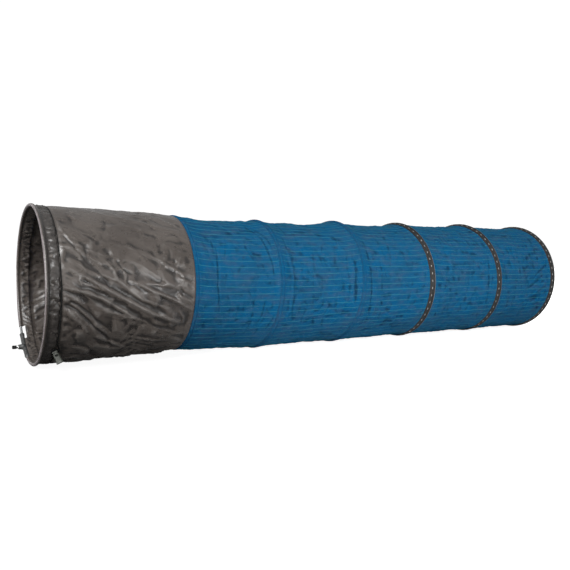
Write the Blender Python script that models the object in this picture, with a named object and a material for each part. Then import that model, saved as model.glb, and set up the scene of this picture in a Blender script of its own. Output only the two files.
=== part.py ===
"""Round fishing keepnet: a coated-fabric collar on a rigid mouth hoop, then a mesh tube held open by six wire hoops.

Metres, +Z up. The net lies on its hoops with its axis along X: mouth at -X, closed end at +X. The origin is at the
middle of the footprint. Angles round the axis are measured from +Y towards +Z.
"""

import math

import bmesh
import bpy
from mathutils import Matrix, Vector

# Driving dimensions
SEGMENTS = 32  # flats round every hoop, with one flat underneath
GAP = 0.0003  # clearance between pieces that touch
STATIONS = (0.0, 0.464, 0.784, 1.145, 1.506, 1.913, 2.296)  # each hoop's distance behind the mouth hoop
RADII = (0.255, 0.238, 0.2445, 0.249, 0.251, 0.2545, 0.254)  # outside of each hoop's pocket
LEANS_DEG = (0.0, 0.0, 1.8, 2.4, -1.1, -3.0, 0.0)  # how far each hoop's top leans away from the mouth
LIFTS = (0.0, 0.016, 0.0, 0.0, 0.0, 0.0, 0.0)  # the first small hoop hangs clear of the ground
FIRST_BOUND_HOOP = 4  # from this hoop on, a dark tape binds the hoop instead of a pocket of the mesh

MOUTH_ROD = 0.004  # rod radius of the mouth hoop
MOUTH_POCKET = 0.0064  # outside radius of the fabric round that rod
POCKET_WALL = 0.0014
HEM_WIDTH = 0.036  # from the mouth rod to the drawcord seam
HEM_DROP = 0.0026  # how far inside the rod's circle the outer hem layer ends
HEM_GAP = 0.001  # between the hem's two layers at the seam
ROD_END_GAP = 0.004  # half the gap between the mouth rod's two ends, inside the connector
CLOTH = 0.0012  # thickness of each sheet of fabric

WIRE = 0.003  # wire radius of the six small hoops
POCKET = 0.0066  # outside radius of the pocket round the wire
LIP_REACH = 0.013  # how far the pocket's sewn edge runs towards the mouth
LIP_HALF = 0.0016  # half the height of that edge
LIP_SLIT = 0.0006  # half the gap between its two layers
FERRULE_RADIUS = 0.0044
FERRULE_LENGTH = 0.036
FERRULE_BORE = WIRE + 0.00035
WIRE_GAP = 0.0005  # half the gap between the wire's two ends

WAIST = 0.012  # how far the mesh draws in between two hoops
DROOP = 0.006  # how far it also hangs down there
DRAWN_IN = ((0.0, 0.0), (0.1, 0.75), (0.5, 1.0), (0.9, 0.75), (1.0, 0.0))  # (share of the bay, share of WAIST)
COLLAR_WAIST = 0.004

CONNECTOR_ANGLE = -57.5  # where the bank-stick connector sits on the mouth hoop, far side, low down
CONNECTOR_HALF = 14.0  # degrees that each arm runs along the hoop
ARM_RADIUS = 0.008
ARM_TIP_RADIUS = 0.0056
ARM_TIP = 0.016  # radians over which each arm tapers to its tip
ARM_BORE = MOUTH_ROD + 0.0004
BORE_REACH = 0.03  # radians that the bore's cutter runs past each arm
BOSS_BASE = 0.011
BOSS_FACE = 0.0078
BOSS_LENGTH = 0.019
STUD_RADIUS = 0.00475
STUD_DEPTH = 0.012
STUD_LENGTH = 0.017
CAP_RADIUS = 0.0059
CAP_LENGTH = 0.013
FRONT_REACH = 0.038  # the stud's cap stands this far in front of the mouth hoop
CUT_FROM = -36.6  # the casing is cut away between these angles
CUT_TO = -74.5
CUT_WIDTH = 0.0125
CUT_FRONT = 0.012  # the cutter's reach in front of the rod
CUT_HALF = 0.014  # and half its depth
OVERRUN = 0.002  # how far a cutter stands clear of the face that it opens

CORD_RADIUS = 0.002
CORD_X = 0.0386  # the cord's line behind the mouth hoop, in the step beside the hem's seam
SLACK_ANGLE = 229.5  # where the cord leaves the seam: near side, low down
COIL_X = 0.0365  # middle of the coil of slack cord behind the lock
COIL_DOWN = 0.005
COIL_INNER = 0.0034
COIL_PITCH = 0.0044
COIL_STEPS = 12
COIL_TURNS = 2
COIL_STRETCH = 1.25  # the coil is this much longer down the cloth than along the net
COIL_TOP = 0.0075  # the coil starts this far out from the cloth, on its own outer turn
COIL_FLOOR = 0.0026  # and soon lies this far out
COIL_DROP = 0.0049 / 6  # how much nearer the cloth each of its first steps comes
STRAND_HALF = 0.0022  # half the distance between the two strands in the lock
PASSAGE_OUTER = 0.0105  # the strands end this far outside the lock's middle
PASSAGE_INNER = -0.0096  # and leave it this far inside
SEAM_OUT = 0.0023  # the cord's line over the cloth, in the seam's step
SEAM_LEAVES = 0.038  # the cord is in that step from this far above the slack's angle
SEAM_RETURNS = 0.052  # round to this far below it
HEM_FOOT = 0.041  # in front of this line the hem rises towards the mouth hoop
HEM_SLOPE = 0.26
# The free cord's route: behind the mouth hoop, down the cloth from the slack's angle, and out from the cloth
TO_COIL = (
    (0.0390, 0.0145, 0.0175),
    (0.0402, 0.0200, 0.0130),
    (0.0403, 0.0195, 0.0090),
    (COIL_X + COIL_INNER, 0.0140, 0.0078),
    (COIL_X + COIL_INNER, 0.0090, 0.0076),
    (COIL_X + COIL_INNER, COIL_DOWN, COIL_TOP),
    (COIL_X + COIL_INNER, COIL_DOWN - 0.003, 0.0070),
)
TO_SEAM = (
    (0.0470, -0.006, 0.0026),
    (0.0430, -0.017, 0.0025),
    (0.0395, -0.028, 0.0024),
    (CORD_X, -SEAM_LEAVES, SEAM_OUT),
    (CORD_X, -SEAM_LEAVES - 0.010, SEAM_OUT),
)
BACK_TO_LOCK = (
    (CORD_X, SEAM_RETURNS + 0.008, SEAM_OUT),
    (CORD_X, SEAM_RETURNS, SEAM_OUT),
    (0.0415, 0.043, 0.0045),
    (0.0450, 0.033, 0.0080),
    (0.0465, 0.023, 0.0130),
    (0.0455, 0.014, 0.0170),
)

LOCK_AT = Vector((0.0375, -0.1755, 0.0510))  # cord passage: behind the mouth hoop, beside the axis, above the ground
LOCK_DOWN = Vector((0.35, -0.35, -0.87)).normalized()  # from the button to the closed end
LOCK_OUT = Vector((-0.25, -0.92, 0.27))  # the way the passage points
LOCK_TOP = -0.0054
LOCK_BOTTOM = 0.0246
LOCK_HALF = Vector((0.0078, 0.0105, 0))
LOCK_TAPER = 0.84
LOCK_EDGE = 0.0015
LOCK_FLOOR = 0.004  # thickness of the lock's closed end
CORD_PASSAGE = CORD_RADIUS + 0.0004
PASSAGE_REACH = 0.02  # the passage's cutter runs this far each way
LOCK_TRAVEL = 0.003
BUTTON_LENGTH = 0.0042
BUTTON_HALF = Vector((0.0055, 0.0078, 0))
BUTTON_EDGE = 0.0012
STEM_HALF = Vector((0.0036, 0.0062, 0))
STEM_WALL = 0.002  # the stem's end beyond its slot
SPRING_RADIUS = 0.0029
SPRING_WIRE = 0.0004
SPRING_TURNS = 4
SPRING_STEPS = 8  # points to each turn

END_X = STATIONS[-1] + POCKET
MOUTH_X = (FRONT_REACH - END_X) / 2
STEP = 2 * math.pi / SEGMENTS
FLAT = math.cos(STEP / 2)

CLOTH_GREY = (0.105, 0.098, 0.090)
MESH_BLUE = (0.030, 0.150, 0.330)
TAPE_GREY = (0.075, 0.075, 0.072)
STEEL = (0.62, 0.62, 0.60)
PLASTIC = (0.070, 0.072, 0.070)
BLACK = (0.015, 0.015, 0.016)
LOCK_GREEN = (0.170, 0.180, 0.140)


def clear_scene():
    for found in list(bpy.data.objects):
        bpy.data.objects.remove(found, do_unlink=True)


def material(name, colour, roughness, metallic=0.0):
    made = bpy.data.materials.new(name)
    made.use_nodes = True
    shader = made.node_tree.nodes["Principled BSDF"]
    shader.inputs["Base Color"].default_value = (*colour, 1.0)
    shader.inputs["Roughness"].default_value = roughness
    shader.inputs["Metallic"].default_value = metallic
    return made


def add_object(name, data, look, parent=None):
    made = bpy.data.objects.new(name, data)
    bpy.context.scene.collection.objects.link(made)
    made.data.materials.append(look)
    made.parent = parent
    return made


def add_empty(name, matrix, parent=None):
    made = bpy.data.objects.new(name, None)
    bpy.context.scene.collection.objects.link(made)
    made.parent = parent
    made.matrix_local = matrix
    return made


def mesh_object(name, shape, look, parent=None):
    """An object from a bmesh, faces out, round parts shaded smooth."""
    bmesh.ops.recalc_face_normals(shape, faces=shape.faces)
    data = bpy.data.meshes.new(name)
    shape.to_mesh(data)
    shape.free()
    data.shade_smooth()
    data.set_sharp_from_angle(angle=math.radians(35))
    return add_object(name, data, look, parent)


def loft(rows, closed):
    """A bmesh through rows of points. Each row is a closed loop; the rows close on themselves or get end caps."""
    shape = bmesh.new()
    loops = [[shape.verts.new(point) for point in row] for row in rows]
    pairs = list(zip(loops, loops[1:]))
    if closed:
        pairs.append((loops[-1], loops[0]))
    for first, second in pairs:
        count = len(first)
        for i in range(count):
            after = (i + 1) % count
            shape.faces.new((first[i], first[after], second[after], second[i]))
    if not closed:
        shape.faces.new(loops[0])
        shape.faces.new(loops[-1])
    return shape


def corner_angles():
    """The corners of a hoop's polygon, with a flat centred underneath."""
    return [-math.pi / 2 + (k + 0.5) * STEP for k in range(SEGMENTS)]


def flat_share(angle):
    """Distance from the axis to the polygon's side at this angle, as a share of its corner radius."""
    off = (angle + math.pi / 2 + STEP / 2) % STEP - STEP / 2
    return FLAT / math.cos(off)


def round_axis(x, radius, angle):
    """The point at this angle on the polygon of this corner radius."""
    radius *= flat_share(angle)
    return Vector((x, radius * math.cos(angle), radius * math.sin(angle)))


def along_hoop(first, last):
    """Angles from first to last, in radians, with every polygon corner between them."""
    corners = [first + STEP - (first - STEP / 2 + math.pi / 2) % STEP]
    while corners[-1] + STEP < last:
        corners.append(corners[-1] + STEP)
    return [first, *[angle for angle in corners if first < angle < last], last]


def hexagon(radius):
    """A hexagon with a flat side outwards, as points across and away from the hoop's line."""
    return [
        (radius * math.cos(math.radians(turn)), radius * math.sin(math.radians(turn)))
        for turn in range(0, 360, 60)
    ]


def hoop_rows(profile, radius, angles):
    return [[round_axis(x, radius + out, angle) for x, out in profile] for angle in angles]


def closed_hoop(name, profile, radius, look, parent):
    return mesh_object(name, loft(hoop_rows(profile, radius, corner_angles()), True), look, parent)


def split_hoop(name, wire_radius, radius, split_deg, half_gap, look, parent):
    """A wire hoop whose two ends face each other across a gap at split_deg."""
    away = half_gap / radius
    first = math.radians(split_deg) + away
    angles = along_hoop(first, first + 2 * math.pi - 2 * away)
    return mesh_object(name, loft(hoop_rows(hexagon(wire_radius), radius, angles), False), look, parent)


def sleeve_on_hoop(name, outer, inner, radius, centre_deg, length, look, parent):
    """A short tube round the hoop's wire."""
    half = length / 2 / radius
    centre = math.radians(centre_deg)
    angles = along_hoop(centre - half, centre + half)
    rows = hoop_rows(hexagon(outer), radius, angles) + hoop_rows(hexagon(inner), radius, angles[::-1])
    return mesh_object(name, loft(rows, True), look, parent)


def pocket_profile():
    """A fabric pocket round the wire, open towards the mouth between its two sewn lips."""
    outer = hexagon(POCKET)
    inner = hexagon(POCKET - POCKET_WALL)
    round_outside = [outer[k] for k in (2, 1, 0, 5, 4)]
    round_inside = [inner[k] for k in (4, 5, 0, 1, 2)]
    return [
        (-LIP_REACH, LIP_HALF),
        *round_outside,
        (-LIP_REACH, -LIP_HALF),
        (-LIP_REACH, -LIP_SLIT),
        *round_inside,
        (-LIP_REACH, LIP_SLIT),
    ]


def casing_profile():
    """The collar's front hem: fabric folded round the mouth rod, its two layers meeting at the seam."""
    outer = hexagon(MOUTH_POCKET)
    inner = hexagon(MOUTH_POCKET - POCKET_WALL)
    return [
        (HEM_WIDTH, -HEM_DROP),
        *[outer[k] for k in (1, 2, 3, 4, 5)],
        (HEM_WIDTH, -HEM_DROP - 2 * CLOTH - HEM_GAP),
        (HEM_WIDTH, -HEM_DROP - CLOTH - HEM_GAP),
        *[inner[k] for k in (5, 4, 3, 2, 1)],
        (HEM_WIDTH, -HEM_DROP - CLOTH),
    ]


def wire_radius(index):
    """Radius of the circle that a hoop's wire follows."""
    if index == 0:
        return RADII[0] - MOUTH_POCKET * math.cos(math.pi / 6)
    return RADII[index] - POCKET * math.cos(math.pi / 6)


def hoop_frame(index):
    """Where a hoop stands: its centre, leaning about Y."""
    height = RADII[index] * FLAT + LIFTS[index]
    place = Matrix.Translation((MOUTH_X + STATIONS[index], 0, height))
    return place @ Matrix.Rotation(math.radians(LEANS_DEG[index]), 4, "Y")


def tube_rows(front, back, waist, droop, drop):
    """Rows from one edge loop to the other. The tube draws in and hangs down between them, and drop goes inwards."""
    rows = []
    for share, depth in DRAWN_IN:
        row = []
        for start, end in zip(front, back):
            point = start.lerp(end, share)
            outwards = Vector((0, point.y, point.z - RADII[0])).normalized()
            hang = Vector((0, 0, -droop * depth))
            row.append(point - outwards * (waist * depth + drop) + hang)
        rows.append(row)
    return rows


def fabric_tube(name, front, back, waist, droop, look):
    outside = tube_rows(front, back, waist, droop, 0.0)
    inside = tube_rows(front, back, waist, droop, CLOTH)
    return mesh_object(name, loft(outside + inside[::-1], True), look)


def edge_loop(index, x, out):
    """A loop of points beside a hoop's wire, as the fabric's outer surface leaves the hoop's pocket."""
    frame = hoop_frame(index)
    radius = wire_radius(index) + out
    return [frame @ round_axis(x, radius, angle) for angle in corner_angles()]


def cut(target, cutter, operation="DIFFERENCE"):
    """Applies one shape to another through a Boolean, and hides the cutter."""
    step = target.modifiers.new(cutter.name, "BOOLEAN")
    step.operation = operation
    step.solver = "EXACT"
    step.object = cutter
    cutter.hide_render = True
    cutter.display_type = "WIRE"


def rod(name, radius, start, end, look, parent=None, end_radius=None, sides=16):
    """A straight cylinder or cone between two points."""
    shape = bmesh.new()
    along = end - start
    turn = along.to_track_quat("Z", "X").to_matrix().to_4x4()
    bmesh.ops.create_cone(
        shape,
        cap_ends=True,
        segments=sides,
        radius1=radius,
        radius2=radius if end_radius is None else end_radius,
        depth=along.length,
        matrix=Matrix.Translation((start + end) / 2) @ turn,
    )
    return mesh_object(name, shape, look, parent)


def make_mouth(looks):
    """The mouth hoop in its casing, with the bank-stick connector that joins the hoop's ends."""
    frame = add_empty("mouth_frame", hoop_frame(0))
    radius = wire_radius(0)
    split_hoop("mouth_hoop", MOUTH_ROD, radius, CONNECTOR_ANGLE, ROD_END_GAP, looks["steel"], frame)

    casing = closed_hoop("hoop_casing", casing_profile(), radius, looks["cloth"], frame)
    across = [(-CUT_FRONT, CUT_HALF), (CUT_WIDTH, CUT_HALF), (CUT_WIDTH, -CUT_HALF), (-CUT_FRONT, -CUT_HALF)]
    angles = along_hoop(math.radians(CUT_TO), math.radians(CUT_FROM))
    cutter = loft(hoop_rows(across, radius, angles), False)
    cut(casing, mesh_object("casing_cut_out", cutter, looks["cloth"], frame))

    middle = math.radians(CONNECTOR_ANGLE)
    half = math.radians(CONNECTOR_HALF)
    rows = hoop_rows(hexagon(ARM_TIP_RADIUS), radius, [middle - half - ARM_TIP])
    rows += hoop_rows(hexagon(ARM_RADIUS), radius, along_hoop(middle - half, middle + half))
    rows += hoop_rows(hexagon(ARM_TIP_RADIUS), radius, [middle + half + ARM_TIP])
    body = mesh_object("connector_body", loft(rows, False), looks["plastic"], frame)

    seat = round_axis(0, radius, middle)
    ahead = Vector((-1, 0, 0))
    face = seat + ahead * BOSS_LENGTH
    cut(body, rod("connector_boss", BOSS_BASE, seat, face, looks["plastic"], frame, BOSS_FACE), "UNION")
    bore_angles = along_hoop(middle - half - BORE_REACH, middle + half + BORE_REACH)
    bore = loft(hoop_rows(hexagon(ARM_BORE), radius, bore_angles), False)
    cut(body, mesh_object("connector_bore", bore, looks["plastic"], frame))
    deep = face - ahead * STUD_DEPTH
    cut(body, rod("stud_hole", STUD_RADIUS + GAP, deep, face + ahead * OVERRUN, looks["plastic"], frame))

    tip = face + ahead * STUD_LENGTH
    rod("connector_stud", STUD_RADIUS, deep + ahead * GAP, tip, looks["steel"], frame)
    cap_end = seat + ahead * FRONT_REACH
    cap = rod("stud_cap", CAP_RADIUS, cap_end - ahead * CAP_LENGTH, cap_end, looks["black"], frame)
    hollow_from = cap_end - ahead * (CAP_LENGTH + OVERRUN)
    cut(cap, rod("cap_hollow", STUD_RADIUS + GAP, hollow_from, tip + ahead * GAP, looks["black"], frame))


def make_hoop(index, looks):
    """One small hoop: its wire, the ferrule over the wire's ends, and the pocket or tape that holds it."""
    frame = add_empty(f"hoop_{index}_frame", hoop_frame(index))
    radius = wire_radius(index)
    split_hoop(f"hoop_{index}", WIRE, radius, 0.0, WIRE_GAP, looks["steel"], frame)
    sleeve_on_hoop(
        f"ferrule_{index}", FERRULE_RADIUS, FERRULE_BORE, radius, 0.0, FERRULE_LENGTH, looks["steel"], frame
    )
    bound = index >= FIRST_BOUND_HOOP
    name = f"binding_{index}" if bound else f"pocket_{index}"
    closed_hoop(name, pocket_profile(), radius, looks["tape" if bound else "mesh"], frame)


def make_collar(looks):
    """The coated tube from the hem's seam to the first small hoop."""
    front = edge_loop(0, HEM_WIDTH + GAP, -HEM_DROP - HEM_GAP)
    back = edge_loop(1, -LIP_REACH - GAP, CLOTH / 2)
    fabric_tube("collar", front, back, COLLAR_WAIST, 0.0, looks["cloth"])


def make_panel(index, looks):
    """The mesh from one small hoop to the next."""
    front = edge_loop(index, POCKET + GAP, CLOTH / 2)
    back = edge_loop(index + 1, -LIP_REACH - GAP, CLOTH / 2)
    fabric_tube(f"mesh_panel_{index}", front, back, WAIST, DROOP, looks["mesh"])


def make_base(looks):
    """The flat disc of mesh that closes the far end, inside the last hoop."""
    last = len(STATIONS) - 1
    frame = hoop_frame(last)
    radius = wire_radius(last) - POCKET * math.cos(math.pi / 6) - GAP
    rows = [[frame @ round_axis(x, radius, angle) for angle in corner_angles()] for x in (-CLOTH / 2, CLOTH / 2)]
    mesh_object("base_panel", loft(rows, False), looks["mesh"])


def lock_matrix():
    """The cord lock's frame: origin at its cord passage, +X out along the passage, +Z down to its closed end."""
    outwards = (LOCK_OUT - LOCK_DOWN * LOCK_OUT.dot(LOCK_DOWN)).normalized()
    turn = Matrix((outwards, LOCK_DOWN.cross(outwards), LOCK_DOWN)).transposed().to_4x4()
    return Matrix.Translation(LOCK_AT + Vector((MOUTH_X, 0, 0))) @ turn


def block(name, half, low, high, look, parent, taper=1.0, bevel=0.0):
    """A box of these half sizes from low to high along Z, drawn in by taper at the low end, its edges rounded."""
    shape = bmesh.new()
    bmesh.ops.create_cube(shape, size=2.0)
    for vert in shape.verts:
        scale = taper if vert.co.z < 0 else 1.0
        vert.co = (vert.co.x * half.x * scale, vert.co.y * half.y * scale, low if vert.co.z < 0 else high)
    if bevel:
        bmesh.ops.bevel(shape, geom=shape.edges, offset=bevel, segments=2, profile=0.6, affect="EDGES")
    return mesh_object(name, shape, look, parent)


def make_cord_lock(looks):
    """The spring-loaded lock on the drawcord: a flared body, a button with a slotted stem, and the spring."""
    frame = add_empty("cord_lock_frame", lock_matrix())
    look = looks["lock"]
    slot = CORD_PASSAGE
    strands = Vector((PASSAGE_REACH, STRAND_HALF + slot, 0))
    bore_end = LOCK_BOTTOM - LOCK_FLOOR
    body = block("cord_lock_body", LOCK_HALF, LOCK_TOP, LOCK_BOTTOM, look, frame, LOCK_TAPER, LOCK_EDGE)
    bore = STEM_HALF + Vector((GAP, GAP, 0))
    cut(body, block("lock_bore", bore, LOCK_TOP - OVERRUN, bore_end, look, frame))
    cut(body, block("lock_passage", strands, -slot, slot, look, frame))

    head_low = LOCK_TOP - LOCK_TRAVEL - GAP
    stem_end = slot + STEM_WALL
    button = block("cord_lock_button", STEM_HALF, head_low - BUTTON_LENGTH / 2, stem_end, look, frame)
    head = block("button_head", BUTTON_HALF, head_low - BUTTON_LENGTH, head_low, look, frame, bevel=BUTTON_EDGE)
    cut(button, head, "UNION")
    cut(button, block("button_slot", strands, -slot - LOCK_TRAVEL, slot, look, frame))

    first = stem_end + SPRING_WIRE + GAP
    rise = bore_end - SPRING_WIRE - GAP - first
    steps = SPRING_TURNS * SPRING_STEPS
    points = []
    for k in range(steps + 1):
        angle = 2 * math.pi * k / SPRING_STEPS
        height = first + rise * k / steps
        points.append(Vector((SPRING_RADIUS * math.cos(angle), SPRING_RADIUS * math.sin(angle), height)))
    cord_object("cord_lock_spring", points, SPRING_WIRE, 1, looks["steel"], frame)


def cord_object(name, points, radius, resolution, look, parent=None):
    """A round tube along a list of points."""
    data = bpy.data.curves.new(name, "CURVE")
    data.dimensions = "3D"
    data.bevel_depth = radius
    data.bevel_resolution = resolution
    data.use_fill_caps = True
    spline = data.splines.new("POLY")
    spline.points.add(len(points) - 1)
    for slot, point in zip(spline.points, points):
        slot.co = (*point, 1.0)
    return add_object(name, data, look, parent)


def smooth_path(points, pieces):
    """Points on a smooth curve through all but the first and last of the given ones."""
    path = []
    for before, start, end, after in zip(points, points[1:], points[2:], points[3:]):
        for k in range(pieces):
            t = k / pieces
            path.append(
                0.5
                * (
                    2 * start
                    + (end - before) * t
                    + (2 * before - 5 * start + 4 * end - after) * t * t
                    + (3 * start - before - 3 * end + after) * t**3
                )
            )
    path.append(points[-2])
    return path


def beside_seam(x, down, out):
    """A point near where the cord leaves the seam: x behind the mouth hoop, down along the cloth and out from it."""
    cloth = wire_radius(0) - HEM_DROP - HEM_GAP
    angle = math.radians(SLACK_ANGLE) + down / cloth
    hem_rise = max(0, HEM_FOOT - x) * HEM_SLOPE
    return hoop_frame(0) @ round_axis(x, cloth + hem_rise + out, angle)


def make_drawcord(looks):
    """One cord: from its end in the lock, round a coil of slack, round the collar in the seam's step, and back."""
    frame = hoop_frame(0)
    lock = lock_matrix()
    outer_end, middle, inner_end = (lock @ Vector((h, STRAND_HALF, 0)) for h in (PASSAGE_OUTER, 0, PASSAGE_INNER))
    to_coil = [outer_end, outer_end, middle, inner_end, *[beside_seam(*place) for place in TO_COIL]]
    coil = []
    for k in range(1, COIL_TURNS * COIL_STEPS + 1):
        turn = 2 * math.pi * k / COIL_STEPS
        reach = COIL_INNER + COIL_PITCH * k / COIL_STEPS
        out = max(COIL_FLOOR, COIL_TOP - COIL_DROP * k)
        down = COIL_DOWN - COIL_STRETCH * reach * math.sin(turn)
        coil.append(beside_seam(COIL_X + reach * math.cos(turn), down, out))
    to_seam = [coil[-2], coil[-1], *[beside_seam(*place) for place in TO_SEAM]]
    outer_end, middle, inner_end = (lock @ Vector((h, -STRAND_HALF, 0)) for h in (PASSAGE_OUTER, 0, PASSAGE_INNER))
    back_to_lock = [*[beside_seam(*place) for place in BACK_TO_LOCK], inner_end, middle, outer_end, outer_end]
    leaves = SLACK_ANGLE - math.degrees(SEAM_LEAVES / wire_radius(0))
    returns = SLACK_ANGLE - 360 + math.degrees(SEAM_RETURNS / wire_radius(0))
    out = wire_radius(0) - HEM_DROP - HEM_GAP + CORD_RADIUS + GAP
    groove = along_hoop(math.radians(returns), math.radians(leaves))[-2:0:-1]
    round_collar = [frame @ round_axis(CORD_X, out, angle) for angle in groove]
    path = smooth_path(to_coil, 2) + coil[:-1] + smooth_path(to_seam, 2)
    path += round_collar + smooth_path(back_to_lock, 2)
    cord_object("drawcord", path, CORD_RADIUS, 2, looks["black"])


def main():
    clear_scene()
    looks = {
        "cloth": material("coated_cloth", CLOTH_GREY, 0.45),
        "mesh": material("blue_mesh", MESH_BLUE, 0.70),
        "tape": material("binding_tape", TAPE_GREY, 0.55),
        "steel": material("bright_steel", STEEL, 0.28, 1.0),
        "plastic": material("moulded_plastic", PLASTIC, 0.45),
        "black": material("black_cord", BLACK, 0.60),
        "lock": material("lock_plastic", LOCK_GREEN, 0.50),
    }
    make_mouth(looks)
    make_collar(looks)
    make_drawcord(looks)
    make_cord_lock(looks)
    for index in range(1, len(STATIONS)):
        make_hoop(index, looks)
    for index in range(1, len(STATIONS) - 1):
        make_panel(index, looks)
    make_base(looks)


main()
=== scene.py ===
"""Round fishing keepnet: a wrinkled coated-nylon collar on a mouth hoop, then blue mesh held open by six hoops.

Metres, +Z up, mouth at -X. Angles round the net are measured from +Y towards +Z, so the near side is at 180 degrees.
"""

import math

import bpy
import numpy as np
from mathutils import Matrix, Vector, noise


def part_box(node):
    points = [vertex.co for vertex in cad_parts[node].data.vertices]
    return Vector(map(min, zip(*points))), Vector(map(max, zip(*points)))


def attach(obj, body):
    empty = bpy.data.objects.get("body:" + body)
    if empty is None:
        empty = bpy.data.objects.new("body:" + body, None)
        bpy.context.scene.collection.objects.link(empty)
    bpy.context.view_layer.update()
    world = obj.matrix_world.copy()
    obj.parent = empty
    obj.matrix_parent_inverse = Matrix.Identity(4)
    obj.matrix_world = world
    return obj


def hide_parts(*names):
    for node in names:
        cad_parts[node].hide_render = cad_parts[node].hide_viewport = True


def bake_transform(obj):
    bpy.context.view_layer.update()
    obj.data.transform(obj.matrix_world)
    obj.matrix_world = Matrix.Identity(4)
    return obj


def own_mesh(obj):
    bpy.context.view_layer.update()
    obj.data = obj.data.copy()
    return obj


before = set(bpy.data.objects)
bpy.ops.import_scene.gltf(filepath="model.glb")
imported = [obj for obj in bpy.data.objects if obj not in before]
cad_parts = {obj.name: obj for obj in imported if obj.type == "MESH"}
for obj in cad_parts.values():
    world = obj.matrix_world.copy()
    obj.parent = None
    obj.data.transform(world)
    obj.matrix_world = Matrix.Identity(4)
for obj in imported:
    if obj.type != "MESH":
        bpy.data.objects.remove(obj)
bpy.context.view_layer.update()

HOOPS = 6
BODIES = ["mouth"] + [f"ring_{k}" for k in range(1, HOOPS + 1)]
FIRST_BOUND = 4  # dark tape binds the hoops from this one on
RIBS = 66  # lengthwise cords round each mesh bay
AXIAL_SEAM = math.radians(-43)  # the tube's own seam: far side, low down
NET_RADIUS = 0.25  # turns angles into lengths round the net
NET_GIRTH = 2 * math.pi * NET_RADIUS
MM = 1000  # millimetres in a metre, for the tables of folds

POCKET = 0.0057  # radius of the cloth round a small hoop
MOUTH_POCKET = 0.0055
MOUTH_ROD = 0.004
WIRE = 0.003
HEM_WIDTH = 0.036
CUT_FROM = math.radians(-74.5)  # the casing is cut away here, for the connector
CUT_TO = math.radians(-36.6)
CUT_WIDTH = 0.0125
CUT_STEP = math.radians(-49)  # below this the slit closes up to the connector
CUT_NARROW = 0.0062
CLOTH = 0.0009  # thickness of the collar's cloth
NET = 0.0010  # and of the mesh

WAIST = 0.0085  # how far a bay's mesh is drawn in half-way between its hoops
FIRST_WAIST = 0.0045
DROOP = 0.0045  # and how far it hangs
COLLAR_BULGE = 0.0055  # how far the collar stands out between its two hoops
CLOTH_FLOOR = 0.0004  # the lowest that the bays' cloth comes to the floor, then hem and sleeves, then ribs
SLEEVE_FLOOR = 0.0003
RIB_FLOOR = 0.0002
FULL_FOLD = 0.0015  # a crease this high gets its full painted shade, a ridge this high its full painted highlight
SMOOTHINGS = 14  # how often the cloth around it is averaged
TAPE_LIP = 0.021  # how far a sleeve's lip covers the bay before it
POCKET_LIP = 0.012


class Hoop:
    """A hoop's circle as the CAD has it: centre, axis, outside radius, and the radius of the wire's line."""

    def __init__(self, wire, sleeve, pocket):
        points = np.array([vert.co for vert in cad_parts[wire].data.vertices])
        self.centre = (points.min(0) + points.max(0)) / 2
        axis = np.linalg.svd(points - points.mean(0), full_matrices=False)[2][2]
        axis *= math.copysign(1, axis[0])
        self.axis = np.array([axis[0], 0.0, axis[2]]) / math.hypot(axis[0], axis[2])
        self.up = np.array([-self.axis[2], 0.0, self.axis[0]])
        low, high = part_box(sleeve)
        self.outside = (high[1] - low[1]) / 2
        self.line = self.outside - pocket
        self.lean = abs(self.outside * self.axis[2])

    def point(self, x, out, angle):
        """Points at x behind the hoop and out from its wire's line. Arrays may be mixed with numbers."""
        x, out, angle = np.broadcast_arrays(x, out, angle)
        reach = (self.line + out)[..., None]
        around = np.cos(angle)[..., None] * np.array([0.0, 1.0, 0.0]) + np.sin(angle)[..., None] * self.up
        return self.centre + x[..., None] * self.axis + reach * around


def sleeve_node(number):
    return f"binding_{number}" if number >= FIRST_BOUND else f"pocket_{number}"


mouth = Hoop("mouth_hoop", "hoop_casing", MOUTH_POCKET)
rings = [mouth] + [Hoop(f"hoop_{number}", sleeve_node(number), POCKET) for number in range(1, HOOPS + 1)]


# ---- camera, floor, light


def add_object(name, data):
    made = bpy.data.objects.new(name, data)
    bpy.context.scene.collection.objects.link(made)
    return made


def add_camera():
    data = bpy.data.cameras.new("camera")
    data.lens = 38.75
    made = add_object("camera", data)
    made.location = Vector(mouth.centre) + Vector((-0.347, -2.044, 0.069))
    made.rotation_euler = (math.radians(87.92), 0, math.radians(-32.15))
    bpy.context.scene.camera = made


def add_light(kind, name, place, target, power):
    data = bpy.data.lights.new(name, kind)
    data.energy = power
    made = add_object(name, data)
    made.location = place
    made.rotation_euler = (Vector(target) - Vector(place)).to_track_quat("-Z", "Y").to_euler()
    return made


def add_area(name, place, target, size, power, spread=180):
    made = add_light("AREA", name, place, target, power)
    made.data.shape = "RECTANGLE"
    made.data.size, made.data.size_y = size
    made.data.spread = math.radians(spread)
    made.visible_camera = False


def add_sun(name, source, power, angle):
    add_light("SUN", name, source, (0, 0, 0), power).data.angle = math.radians(angle)


def feed(tree, socket, value):
    """Gives a socket its value, or the socket that feeds it."""
    if isinstance(value, bpy.types.NodeSocket):
        tree.links.new(value, socket)
    else:
        socket.default_value = value


def node(tree, kind, inputs=None, **settings):
    """A shader node. An input is a value, or the socket that feeds it."""
    made = tree.nodes.new(kind)
    for key, value in settings.items():
        setattr(made, key, value)
    for key, value in (inputs or {}).items():
        feed(tree, made.inputs[key], value)
    return made


def ramp(tree, value, low, high, out_low=0.0, out_high=1.0):
    """A smooth step in value from out_low at low to out_high at high."""
    inputs = {0: value, 1: low, 2: high, 3: out_low, 4: out_high}
    return node(tree, "ShaderNodeMapRange", inputs, interpolation_type="SMOOTHSTEP").outputs[0]


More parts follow.
